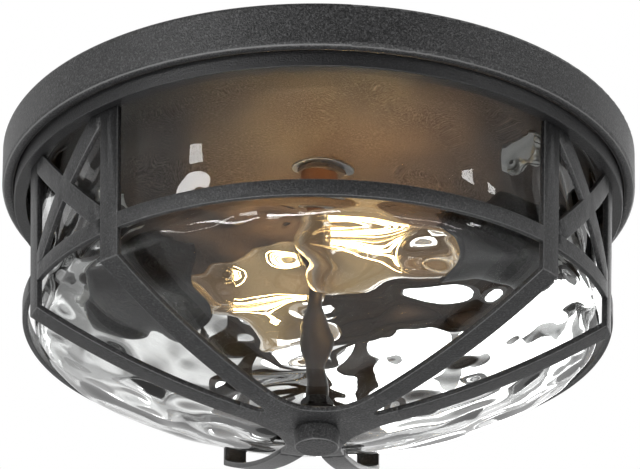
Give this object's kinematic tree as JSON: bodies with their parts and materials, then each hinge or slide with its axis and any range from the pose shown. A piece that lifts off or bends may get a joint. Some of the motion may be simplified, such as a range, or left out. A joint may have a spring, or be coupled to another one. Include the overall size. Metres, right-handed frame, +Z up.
{
  "type": "flush mount ceiling light",
  "caption": "Flush mount ceiling light: round black pan, welded flat-bar cage and a rippled clear glass bowl round filament bulbs on a centre rod.",
  "frame": {"origin": "centre of the pan's ceiling face", "axes": "+Z up to the ceiling, +X along the crossbar; the lamps' axes lie along X, the pictured side faces -Y"},
  "size_m": [0.3298, 0.3298, 0.1647],
  "materials": {
    "black_coat": "fine matte charcoal powder coat",
    "zinc_steel": "bright zinc",
    "dark_tube": "semi-gloss dark bronze",
    "green_screw": "green dyed zinc",
    "black_plastic": "moulded",
    "brass": "rolled",
    "solder": "dull solder",
    "rippled_glass": "clear with a hammered ripple",
    "bulb_glass": "clear",
    "filament": "glowing",
    "wire": "bare",
    "rubber": "soft matte"
  },
  "bodies": {
    "fixture": {"ceiling_pan": "black_coat", "wire_bushings": "black_plastic", "crossbar": "zinc_steel", "ground_screw": "green_screw", "center_rod": "zinc_steel", "rod_tube": "dark_tube", "rod_nuts": "black_coat", "pan_washer": "zinc_steel", "bracket_screws": "zinc_steel", "bracket_nuts": "zinc_steel", "socket_nuts": "zinc_steel", "socket_bracket_left": "zinc_steel", "socket_nipple_left": "zinc_steel", "socket_cup_left": "black_coat", "socket_body_left": "black_plastic", "socket_shell_left": "brass", "socket_contact_left": "brass", "socket_bracket_right": "zinc_steel", "socket_nipple_right": "zinc_steel", "socket_cup_right": "black_coat", "socket_body_right": "black_plastic", "socket_shell_right": "brass", "socket_contact_right": "brass"},
    "glass": {"glass_bowl": "rippled_glass", "glass_washer": "rubber"},
    "cage": {"cage_top_ring": "black_coat", "cage_hub": "black_coat", "cage_strap_1": "black_coat", "cage_strap_2": "black_coat", "cage_strap_3": "black_coat", "cage_strap_4": "black_coat", "cage_strap_5": "black_coat", "cage_strap_6": "black_coat", "cage_hoop_long_1": "black_coat", "cage_hoop_long_2": "black_coat", "cage_hoop_long_3": "black_coat", "cage_hoop_short_1": "black_coat", "cage_hoop_short_2": "black_coat", "cage_hoop_short_3": "black_coat", "cage_brace_1": "black_coat", "cage_brace_2": "black_coat", "cage_brace_3": "black_coat"},
    "knob": {"finial_knob": "black_coat"},
    "bulb_left": {"bulb_envelope_left": "bulb_glass", "bulb_cap_left": "brass", "bulb_insulator_left": "black_plastic", "bulb_eyelet_left": "solder", "bulb_stem_left": "bulb_glass", "bulb_filaments_left": "filament", "bulb_wires_left": "wire"},
    "bulb_right": {"bulb_envelope_right": "bulb_glass", "bulb_cap_right": "brass", "bulb_insulator_right": "black_plastic", "bulb_eyelet_right": "solder", "bulb_stem_right": "bulb_glass", "bulb_filaments_right": "filament", "bulb_wires_right": "wire"}
  },
  "joints": [
    {"name": "cage_drop", "type": "slide", "parent": "fixture", "child": "cage", "axis": [0, 0, -1], "range_m": [0, 0.3]},
    {"name": "glass_drop", "type": "slide", "parent": "fixture", "child": "glass", "axis": [0, 0, -1], "range_m": [0, 0.15]},
    {"name": "knob_turn", "type": "hinge", "parent": "cage", "child": "knob", "pos_m": [0, 0, -0.16], "axis": [0, 0, 1], "continuous": true},
    {"name": "bulb_left_out", "type": "slide", "parent": "fixture", "child": "bulb_left", "axis": [1, 0, 0], "range_m": [0, 0.026]},
    {"name": "bulb_right_out", "type": "slide", "parent": "fixture", "child": "bulb_right", "axis": [-1, 0, 0], "range_m": [0, 0.026]}
  ],
  "couplings": [
    {"joint": "glass_drop", "follows": "cage_drop", "ratio": 0.5}
  ]
}
